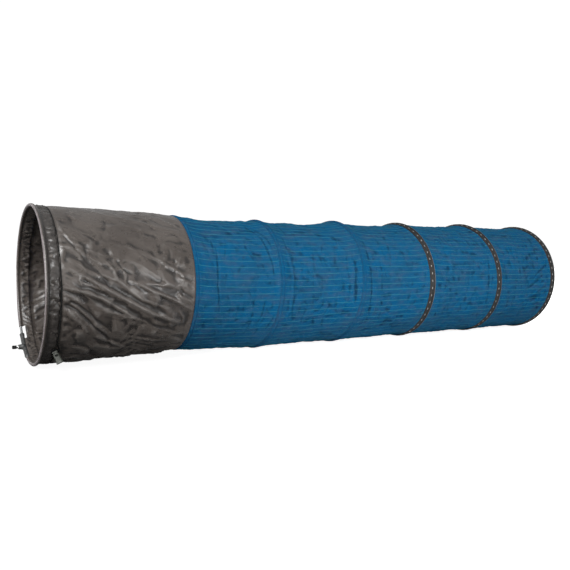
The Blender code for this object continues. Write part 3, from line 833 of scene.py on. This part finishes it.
def make_collar():
    surface = between(
        lambda angle: mouth.point(HEM_WIDTH - 0.005, -0.0038, angle),
        lambda angle: rings[1].point(-0.0098, 0.0036, angle),
        waist=-COLLAR_BULGE,
        droop=0.0,
        power=4,
    )
    count, rows = 400, 116
    share = np.linspace(0, 1, rows)
    grid, relief = raised_surface(surface, collar_relief, *np.meshgrid(turn_angles(count), share))
    v = share * COLLAR_LENGTH
    collar = grid_object("collar_cloth", grid, turn_u(count), v, CLOTH_LOOK, fold=standing_out(relief))
    thicken(collar, CLOTH)
    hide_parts("collar")
    across_bay(collar)

    along_seam = []
    steps = np.linspace(0.03, 0.975, 120)
    for place, lift, yarn in (("outside", 0.0003, GREY_THREAD), ("inside", -CLOTH - 0.0003, SEAM_THREAD)):
        for side in (-1, 1):
            turn = AXIAL_SEAM + side * SEAM_ROWS / NET_RADIUS + np.zeros_like(steps)
            line = raised_surface(surface, collar_relief, turn, steps, lift)[0]
            outwards = surface(turn, steps)[1]
            row = stitch_row(f"collar_seam_{place}_{side + 2}", line, outwards, SEAM_STITCH, yarn)
            across_bay(row)
            along_seam.append(row)

    turns = AXIAL_SEAM + np.linspace(-FELL_HALF, FELL_HALF, len(FELL_RISE)) / NET_RADIUS
    for place, lift in (("outside", 0.0007), ("inside", -CLOTH - 0.0007)):
        lines = []
        for turn, rise in zip(turns, FELL_RISE):
            lines.append(raised_surface(surface, collar_relief, turn + np.zeros_like(steps), steps, lift * rise)[0])
        u = np.linspace(0, 2 * FELL_HALF, len(FELL_RISE))
        v = steps * COLLAR_LENGTH
        strip = grid_object(f"collar_fell_{place}", np.stack(lines, 1), u, v, CLOTH_LOOK, round_net=False)
        thicken(strip, 0.0004)
        across_bay(strip)
        along_seam.append(strip)
    return collar, along_seam


def across_bay(piece):
    """Bakes the piece's placement into its mesh."""
    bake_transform(piece)


# ---- hoops and their sleeves


def sleeve_profile(bound):
    """A sleeve round the wire, whose two layers are sewn together in a lip towards the mouth. Tape reaches further.

    The lip is given as (x, half its thickness, how far it droops).
    """
    if bound:
        front = [(-0.0215, 0.0008, 0.0026), (-0.0203, 0.0015, 0.0022), (-0.0150, 0.0017, 0.0008)]
    else:
        front = [(-0.0128, 0.0009, 0.0), (-0.0116, 0.0016, 0.0)]
    lip = [*front, (-0.0085, 0.0019, 0.0), (-0.0062, 0.0028, 0.0)]
    outside = [(x, half - drop) for x, half, drop in lip]
    inside = [(x, -half - drop) for x, half, drop in reversed(lip)]
    return outside + arc(POCKET, range(135, -136, -18)) + inside


TAPE_STITCH = (0.0300, 0.0095, 0.0024)  # pitch, length and width of the stitches that show


POCKET_STITCH = (0.0045, 0.003, 0.0008)


def make_ring(index):
    """A hoop's wire, the sleeve round it, and the stitches through the sleeve's lip."""
    hoop, body = rings[index], BODIES[index]
    bound = index >= FIRST_BOUND
    count = 384
    angle = turn_angles(count)
    profile = sleeve_profile(bound)
    x, out = np.array(profile).T[..., None]
    pucker = folds(angle, x, 0.010, 0.02, seed=index * 1.9)
    lip = smooth((-0.004 - x) / 0.006)
    relief = (0.0004 + 0.0005 * lip) * pucker
    grid = hoop.point(x + 0.0008 * lip * pucker, out + relief, angle)
    grid[..., 2] = np.maximum(grid[..., 2], SLEEVE_FLOOR)
    v = lengths_along(profile + profile[:1])
    look = TAPE_LOOK if bound else POCKET_LOOK
    sleeve = grid_object(f"sleeve_{index}", grid, turn_u(count), v, look, closed_rows=True)
    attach(sleeve, body)
    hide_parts(sleeve_node(index))

    wire = ring_of(f"wire_{index}", hoop, WIRE, 14, WIRE_LOOK, count=256)
    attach(wire, body)
    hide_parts(f"hoop_{index}")

    x, size, yarn = (-0.0108, TAPE_STITCH, PALE_THREAD) if bound else (-0.0092, POCKET_STITCH, BLUE_THREAD)
    return [sleeve] + stitch_pair(f"stitches_{index}", hoop, x, (0.0022, -0.0022), size, yarn, body)


# ---- mesh bays

# Creases of each bay's near side: lines of (degrees, distance behind its first hoop), then width and height, in mm
BAY_FOLDS = {
    1: (
        (((146, 82), (160, 76), (180, 70), (206, 84)), 2.8, -3.4),
        (((152, 12), (170, 16), (186, 18)), 3, -3),
        (((112, 240), (135, 272), (160, 284), (172, 284)), 2.6, -4.2),
        (((112, 254), (135, 292), (158, 306), (184, 310), (204, 300), (222, 280)), 3, -5),
        (((192, 250), (206, 248), (216, 234)), 3, -3),
        (((150, 210), (154, 245)), 6, -2.6),
    ),
    2: (
        (((140, 30), (165, 40), (195, 36), (220, 26)), 6, 3.5),
        (((158, 330), (180, 322), (202, 330)), 8, -4.5),
        (((160, 120), (185, 150), (200, 200)), 10, 2.5),
    ),
    3: (
        (((130, 40), (160, 30), (190, 34), (220, 50)), 6, -3),
        (((200, 60), (215, 160), (225, 260)), 10, 3.5),
    ),
    4: (
        (((150, 120), (175, 100), (200, 130)), 10, 3),
        (((150, 350), (180, 340), (210, 350)), 7, -3),
    ),
    5: (
        (((163, 360), (172, 290), (182, 220)), 4, -4.2),
        (((170, 352), (180, 285), (192, 200)), 6, -3),
        (((182, 345), (190, 300), (200, 250)), 6, 3.2),
        (((150, 330), (156, 260), (166, 180)), 8, 2.6),
    ),
}


def bay_relief(index):
    """How far a bay's mesh stands out: soft waves, faint creases round it, and puckers beside the hoops."""
    start = rings[index].centre[0]
    length = rings[index + 1].centre[0] - start
    lip = TAPE_LIP if index + 1 >= FIRST_BOUND else POCKET_LIP
    seed = index * 2.3

    def relief(angle, x):
        behind = x - start
        ends = smooth((behind - 0.008) / 0.03) * smooth((length - lip - behind) / 0.03)
        soft = folds(angle, behind, 0.10, 0.14, twist=0.2, seed=seed)
        drag = ridges(folds(angle, behind, 0.035, 0.22, twist=0.25 * (-1) ** index, seed=seed + 1))
        hooped = ridges(folds(angle, behind, 0.16, 0.045, seed=seed + 4))
        small = folds(angle, behind, 0.016, 0.020, seed=seed + 7)
        beside = smooth((0.05 - behind) / 0.04) + smooth((behind - length + 0.06) / 0.04)
        pucker = folds(angle, behind, 0.015, 0.08, seed=seed + 2)
        thin = ridges(folds(angle, behind, 0.13, 0.060, twist=0.1, seed=seed + 9), 9.0)
        crumples = facets(angle, behind, 0.050, 0.045, 0.2, index)
        crumples = crumples + facets(angle, behind, 0.024, 0.05, -0.3, index + 20)
        patch = smooth(folds(angle, behind, 0.12, 0.12, seed=seed + 5) * 2)
        total = 0.0045 * soft + 0.0018 * drag - 0.0016 * hooped - 0.0022 * thin * patch
        total = total + 0.0004 * small + 0.0014 * beside * pucker + crumples
        for line, width, height in BAY_FOLDS[index]:
            total = total + crease(angle, behind, line, width / MM, height / MM)
        return total * ends

    return relief


def make_bay(index):
    """A bay's mesh and the ribs on it."""
    near, far = rings[index], rings[index + 1]
    surface = between(
        lambda angle: near.point(0.0040, 0.0045, angle),
        lambda angle: far.point(-0.0100, 0.0006, angle),
        waist=FIRST_WAIST if index == 1 else WAIST,
        droop=DROOP,
        power=5,
    )
    relief = bay_relief(index)
    count, rows = RIBS * 4, 116
    share = np.linspace(0, 1, rows)
    v = share * (far.centre[0] - near.centre[0])
    grid, heights = raised_surface(surface, relief, *np.meshgrid(turn_angles(count), share))
    net = grid_object(f"mesh_bay_{index}", grid, turn_u(count), v, MESH_LOOK, fold=standing_out(heights))
    thicken(net, NET)
    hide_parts(f"mesh_panel_{index}")
    across_bay(net)
    ribs = make_ribs(f"ribs_{index}", surface, relief, share, v)
    across_bay(ribs)
    return net, ribs


RIB_HALF = 0.0008
RIB_GAP_U = 0.02  # each rib has its own stretch of the yarn's pattern, this far from the next
RIB_WIDTH_U = 0.001


def make_ribs(name, surface, relief, share, v):
    """Cords along a bay, each a flat diamond in section that follows the mesh under its middle."""
    half = RIB_HALF / NET_RADIUS
    corners = ((-half, 0.0001), (0.0, 0.0006), (half, 0.0001), (0.0, -0.0002))  # to the side, and out
    middle = np.repeat(AXIAL_SEAM + 2 * math.pi / RIBS * np.arange(RIBS), 4)
    sideways, lifts = np.array(corners * RIBS).T
    total, rows = len(middle), len(share)
    all_rows = np.zeros((rows, 1))
    base, outwards = surface(middle + sideways + all_rows, share[:, None] + np.zeros(total))
    cords = base + outwards * (relief(middle + all_rows, base[..., 0]) + lifts)[..., None]
    cords[..., 2] = np.maximum(cords[..., 2], RIB_FLOOR)
    faces, uv = [], []
    for rib in range(RIBS):
        ring = [rib * 4 + k for k in range(4)]
        u = rib * RIB_GAP_U
        for row in range(rows - 1):
            start, after = row * total, (row + 1) * total
            for first, second in zip(ring, ring[1:] + ring[:1]):
                faces.append((start + first, start + second, after + second, after + first))
                uv += [(u + wide, v[row + down]) for wide, down in ((0, 0), (RIB_WIDTH_U, 0), (RIB_WIDTH_U, 1), (0, 1))]
        for row, order in ((0, ring[::-1]), (rows - 1, ring)):
            faces.append([row * total + k for k in order])
            uv += [(u, v[row])] * 4
    return add_mesh(name, cords.reshape(-1, 3), faces, RIB_LOOK, uv, shade_smooth=False)


def make_base():
    """The disc of mesh that closes the far end: slack in the middle, drawn in folds to its edge."""
    hoop = rings[HOOPS]
    rim = hoop.line - 0.0006
    count, rows = 288, 56
    radius = np.linspace(rim, 0.004, rows)
    a, r = np.meshgrid(turn_angles(count), radius)
    sag = 0.010 * (1 - (r / rim) ** 2)
    waves = field(r * np.cos(a) / 0.07, r * np.sin(a) / 0.07, 2.0) * 0.004
    pucker = field(6 * np.cos(3 * a), 6 * np.sin(3 * a), r / 0.12) * 0.0022 * (r / rim) ** 3
    x = -0.004 - (sag + waves + pucker) * smooth((rim - r) / 0.02)
    grid = hoop.point(x, r - hoop.line, a)
    disc = grid_object("mesh_base", grid, turn_u(count), rim - radius, MESH_LOOK)
    thicken(disc, NET)
    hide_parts("base_panel")
    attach(disc, f"ring_{HOOPS}")
    return disc, rim


# ---- mouth fittings

CORD_RADIUS = 0.002
CORD_X = 0.0386  # the cord's line behind the mouth hoop, beside the hem's seam
SLACK_ANGLE = math.radians(229.5)
COIL_X = 0.0365
COIL_DOWN = 0.005
COIL_INNER = 0.0034
COIL_PITCH = 0.0044
COIL_TURNS = 2
COIL_STEPS = 16
STRAND_HALF = 0.0022
LOCK_AT = (0.0375, -0.1755, 0.0510)
LOCK_DOWN = Vector((0.35, -0.35, -0.87)).normalized()
LOCK_OUT = Vector((-0.25, -0.92, 0.27))
SEAM_DEPTH = 0.0036
HEM_FOOT = 0.041  # the hem's cloth rises forwards from here
HEM_SLOPE = 0.26


def lock_matrix():
    """The cord lock's frame: origin at its cord passage, +X out along the passage, +Z down to its closed end."""
    outwards = (LOCK_OUT - LOCK_DOWN * LOCK_OUT.dot(LOCK_DOWN)).normalized()
    turn = Matrix((outwards, LOCK_DOWN.cross(outwards), LOCK_DOWN)).transposed().to_4x4()
    place = Vector((mouth.centre[0] + LOCK_AT[0], LOCK_AT[1], LOCK_AT[2]))
    return Matrix.Translation(place) @ turn


def beside_seam(x, down, out):
    """A point near where the cord leaves the seam: x behind the mouth hoop, down along the cloth and out from it."""
    cloth = mouth.line - SEAM_DEPTH
    angle = SLACK_ANGLE + down / cloth
    hem_rise = max(0, HEM_FOOT - x) * HEM_SLOPE
    return Vector(mouth.point(x, -SEAM_DEPTH + hem_rise + out, angle))


def smooth_path(points, pieces):
    """A smooth curve through every point but the first and last, which only lead it in and out."""
    path = []
    for before, start, end, after in zip(points, points[1:], points[2:], points[3:]):
        for t in (k / pieces for k in range(pieces)):
            square = 2 * before - 5 * start + 4 * end - after
            cube = 3 * start - before - 3 * end + after
            path.append(0.5 * (2 * start + (end - before) * t + square * t * t + cube * t**3))
    return path + [points[-2]]


def sunk(angle):
    """How far the cord lies buried between the hem and the collar: all the way over the top of the net."""
    return smooth((np.sin(angle) + 0.10) / 0.35)


LOCK_STRAND = (0.0105, 0, -0.0096)  # the cord's way through the lock, out along its passage
LOCK_TO_COIL = (  # (x, down, out) as in beside_seam
    (0.0390, 0.0145, 0.0175),
    (0.0402, 0.0200, 0.0130),
    (0.0403, 0.0195, 0.0090),
    (COIL_X + COIL_INNER, 0.0140, 0.0078),
    (COIL_X + COIL_INNER, 0.0090, 0.0076),
)
COIL_TO_SEAM = ((0.0470, -0.006, 0.0028), (0.0430, -0.017, 0.0026), (0.0395, -0.028, 0.0024))
SEAM_TO_LOCK = ((0.0415, 0.043, 0.0045), (0.0450, 0.033, 0.0080), (0.0465, 0.023, 0.0130), (0.0455, 0.014, 0.0170))


def make_drawcord():
    """One cord: from its end in the lock, round a coil of slack, round the collar beside the seam, and back."""
    lock = lock_matrix()
    ends = {side: [lock @ Vector((h, side * STRAND_HALF, 0)) for h in LOCK_STRAND] for side in (1, -1)}
    route = [ends[1][0], *ends[1]]
    route += [beside_seam(*place) for place in LOCK_TO_COIL]
    for k in range(0, COIL_TURNS * COIL_STEPS + 1):
        turn = 2 * math.pi * k / COIL_STEPS
        reach = COIL_INNER + COIL_PITCH * k / COIL_STEPS
        out = max(0.0030, 0.0080 - 0.0049 * k / 8)
        route.append(beside_seam(COIL_X + reach * math.cos(turn), COIL_DOWN - 1.25 * reach * math.sin(turn), out))
    route += [beside_seam(*place) for place in COIL_TO_SEAM]
    for step in range(101):
        down = -0.038 - (2 * math.pi * mouth.line - 0.090) * step / 100
        route.append(beside_seam(CORD_X, down, 0.0023 - 0.0016 * sunk(SLACK_ANGLE + down / mouth.line)))
    route += [beside_seam(*place) for place in SEAM_TO_LOCK]
    route += [*reversed(ends[-1]), ends[-1][0]]
    path = np.array([tuple(point) for point in smooth_path(route, 5)])
    across, up = (path - mouth.centre)[:, 1:].T
    in_seam = smooth((np.hypot(across, up) - 0.2) / 0.01) * (up > -0.06)
    radius = CORD_RADIUS - 0.0008 * in_seam * sunk(np.arctan2(up, across))
    cord = sweep("drawcord_braid", path, radius, 12, CORD_LOOK)
    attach(cord, "mouth")
    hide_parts("drawcord")


def paint(name, look):
    """A CAD node that keeps its shape gets a finished material."""
    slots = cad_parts[name].data.materials
    if not len(slots):
        slots.append(look)
    for index in range(len(slots)):
        slots[index] = look


CONNECTOR = math.radians(-57.5)
CONNECTOR_HALF = math.radians(14)
CONNECTOR_ENDS = 0.012  # its rounded ends reach this much further, in radians
BOSS_LENGTH = 0.019
STUD_TIP = 0.036
STUD_RADIUS = 0.00475
THREAD_PITCH = 0.0012
CAP_END = 0.038
CAP_LENGTH = 0.013


def turned(name, start, ahead, rows, sides, look, wobble=None):
    """A turned part: (distance, radius) rows along an axis, closed at both ends where the radius comes near 0."""
    ahead = Vector(ahead).normalized()
    side = ahead.cross(Vector((0.1, 0.3, 1))).normalized()
    up = ahead.cross(side)
    at, radius = np.array(rows).T[..., None]
    turn = 2 * math.pi * np.arange(sides) / sides
    if wobble is not None:
        radius = radius * wobble(at, turn)
    around = np.cos(turn)[:, None] * np.array(side) + np.sin(turn)[:, None] * np.array(up)
    grid = np.array(start) + at[..., None] * np.array(ahead) + radius[..., None] * around
    u = 0.03 * np.arange(sides + 1) / sides
    v = lengths_along(np.column_stack([at[:, 0], radius[:, 0]]))
    return grid_object(name, grid, u, v, look)


def make_connector():
    """The bank-stick fitting: a moulded sleeve on the mouth rod, its boss, a threaded stud and the cap over it."""
    reach = CONNECTOR_HALF + CONNECTOR_ENDS
    shares = np.linspace(-1, 1, 61)
    from_end = (1 - np.abs(shares)) * reach * mouth.line
    radius = 0.0068 * np.sqrt(np.clip(from_end / 0.004, 0.30, 1))
    for ring in (0.006, 0.010, 0.014):
        radius = radius + 0.0009 * np.exp(-(((from_end - ring) / 0.0012) ** 2))
    path = mouth.point(0.0, 0.0, CONNECTOR + shares * reach)
    sleeve = sweep("connector_sleeve", path, radius, 20, PLASTIC_LOOK)
    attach(sleeve, "mouth")
    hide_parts("connector_body")

    seat = mouth.point(0.0, 0.0, np.array(CONNECTOR))
    ahead = -mouth.axis
    shape = [(0.0, 0.0008), (0.0002, 0.0104), (0.006, 0.0102), (0.0075, 0.0092), (0.012, 0.0084), (0.0165, 0.0080)]
    shape += [(0.0180, 0.0079), (0.0188, 0.0070), (0.0190, 0.0052), (0.0186, 0.0049), (0.0180, 0.0008)]
    boss = turned("connector_boss", seat, ahead, shape, 36, PLASTIC_LOOK)
    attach(boss, "mouth")

    def spiral(at, turn):
        phase = (at / THREAD_PITCH + turn / (2 * math.pi)) % 1.0
        return 0.90 + 0.10 * (1 - np.abs(2 * phase - 1))

    along = np.linspace(BOSS_LENGTH - 0.0010, STUD_TIP - 0.0008, 72)
    rows = [(along[0], 0.0003)] + [(at, STUD_RADIUS) for at in along]
    rows += [(STUD_TIP - 0.0003, STUD_RADIUS * 0.80), (STUD_TIP, STUD_RADIUS * 0.6), (STUD_TIP, 0.0003)]
    stud = turned("stud_thread", seat, ahead, rows, 28, STEEL, wobble=spiral)
    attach(stud, "mouth")
    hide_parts("connector_stud")

    open_end = CAP_END - CAP_LENGTH

    def grip(at, turn):
        held = smooth((at - (open_end + 0.0015)) / 0.001) * smooth((CAP_END - 0.0025 - at) / 0.001)
        return 1 - 0.045 * held * (0.5 + 0.5 * np.cos(16 * turn))

    bore = STUD_RADIUS + 0.0003
    shape = [(STUD_TIP + 0.0004, 0.0003), (STUD_TIP + 0.0004, bore), (open_end, bore)]
    shape += [(open_end, 0.0057), (open_end + 0.0004, 0.0059)]
    shape += [(at, 0.0059) for at in np.linspace(open_end + 0.001, CAP_END - 0.0016, 16)]
    shape += [(CAP_END - 0.0008, 0.0055), (CAP_END - 0.0002, 0.0046), (CAP_END, 0.0030), (CAP_END, 0.0003)]
    cap = turned("cap_ribbed", seat, ahead, shape, 64, BLACK_LOOK, wobble=grip)
    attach(cap, "mouth")
    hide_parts("stud_cap")


LOCK_TOP = -0.0054
LOCK_BOTTOM = 0.0246
BORE_END = 0.0206
STEM_END = 0.0044
SPRING_RADIUS = 0.0029
SPRING_WIRE = 0.0004
SPRING_TURNS = 6


def make_lock():
    """The cord lock's body: flared, ribbed across for grip, open at the button's end and recessed at the other."""
    place = lock_matrix()
    rows = [(BORE_END, 0.0004, 0.0005), (BORE_END, 0.0040, 0.0066), (LOCK_TOP + 0.0004, 0.0040, 0.0066)]
    rows += [(LOCK_TOP, 0.0044, 0.0070), (LOCK_TOP, 0.0060, 0.0084), (LOCK_TOP + 0.0006, 0.0066, 0.0090)]
    for z in np.linspace(LOCK_TOP + 0.0014, LOCK_BOTTOM - 0.0012, 44):
        share = (z - LOCK_TOP) / (LOCK_BOTTOM - LOCK_TOP)
        rib = 0.0005 * (0.5 + 0.5 * math.cos(2 * math.pi * (z - 0.0060) / 0.0030)) if 0.0060 < z < 0.0180 else 0.0
        narrow = 0.0012 * math.sin(math.pi * share)
        rows.append((z, 0.0066 + 0.0011 * share - narrow + rib, 0.0090 + 0.0014 * share - narrow + rib))
    rows += [(LOCK_BOTTOM - 0.0004, 0.0076, 0.0103), (LOCK_BOTTOM, 0.0070, 0.0097), (LOCK_BOTTOM, 0.0058, 0.0084)]
    rows += [(LOCK_BOTTOM - 0.0030, 0.0052, 0.0078), (LOCK_BOTTOM - 0.0030, 0.0004, 0.0005)]
    sides = 40
    grid = []
    for z, half_x, half_y in rows:
        for x, y in arc(1.0, np.arange(sides) * -360 / sides):
            size = (x**4 + y**4) ** -0.25
            grid.append(place @ Vector((half_x * x * size, half_y * y * size, z)))
    grid = np.array(grid).reshape(len(rows), sides, 3)
    u = 0.06 * np.arange(sides + 1) / sides
    body = grid_object("lock_body", grid, u, np.linspace(0, 0.04, len(rows) + 1), LOCK_LOOK, closed_rows=True)
    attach(body, "mouth")
    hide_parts("cord_lock_body")


def make_spring():
    """The coil spring under the button's stem."""
    place = lock_matrix()
    low, high = STEM_END + SPRING_WIRE + 0.0003, BORE_END - SPRING_WIRE - 0.0003
    steps = np.linspace(0, 1, SPRING_TURNS * 20 + 1)
    flat_ends = smooth(steps * 1.06 - 0.03) * 0.35 + steps * 0.65
    turn = 2 * math.pi * SPRING_TURNS * steps
    line = np.stack([SPRING_RADIUS * np.cos(turn), SPRING_RADIUS * np.sin(turn), low + (high - low) * flat_ends], 1)
    path = [tuple(place @ Vector(point)) for point in line]
    spring = sweep("lock_spring", path, SPRING_WIRE, 10, STEEL)
    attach(spring, "mouth")
    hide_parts("cord_lock_spring")
    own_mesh(spring)


def make_fittings():
    rod = ring_of("mouth_rod", mouth, MOUTH_ROD, 18, STEEL)
    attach(rod, "mouth")
    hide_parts("mouth_hoop")
    make_connector()
    make_lock()
    make_spring()
    paint("cord_lock_button", LOCK_LOOK)
    for number in range(1, HOOPS + 1):
        paint(f"ferrule_{number}", STEEL)


# ---- build

hem = make_hem()
hem_rows = stitch_pair(
    "hem_stitches", mouth, HEM_WIDTH - 0.0035, (-0.0021, -0.0066), HEM_STITCH, GREY_THREAD, "mouth"
)
collar, along_seam = make_collar()
make_drawcord()
make_fittings()
sleeves = {index: make_ring(index) for index in range(1, HOOPS + 1)}
for index in range(1, HOOPS):
    net, ribs = make_bay(index)
disc, rim = make_base()
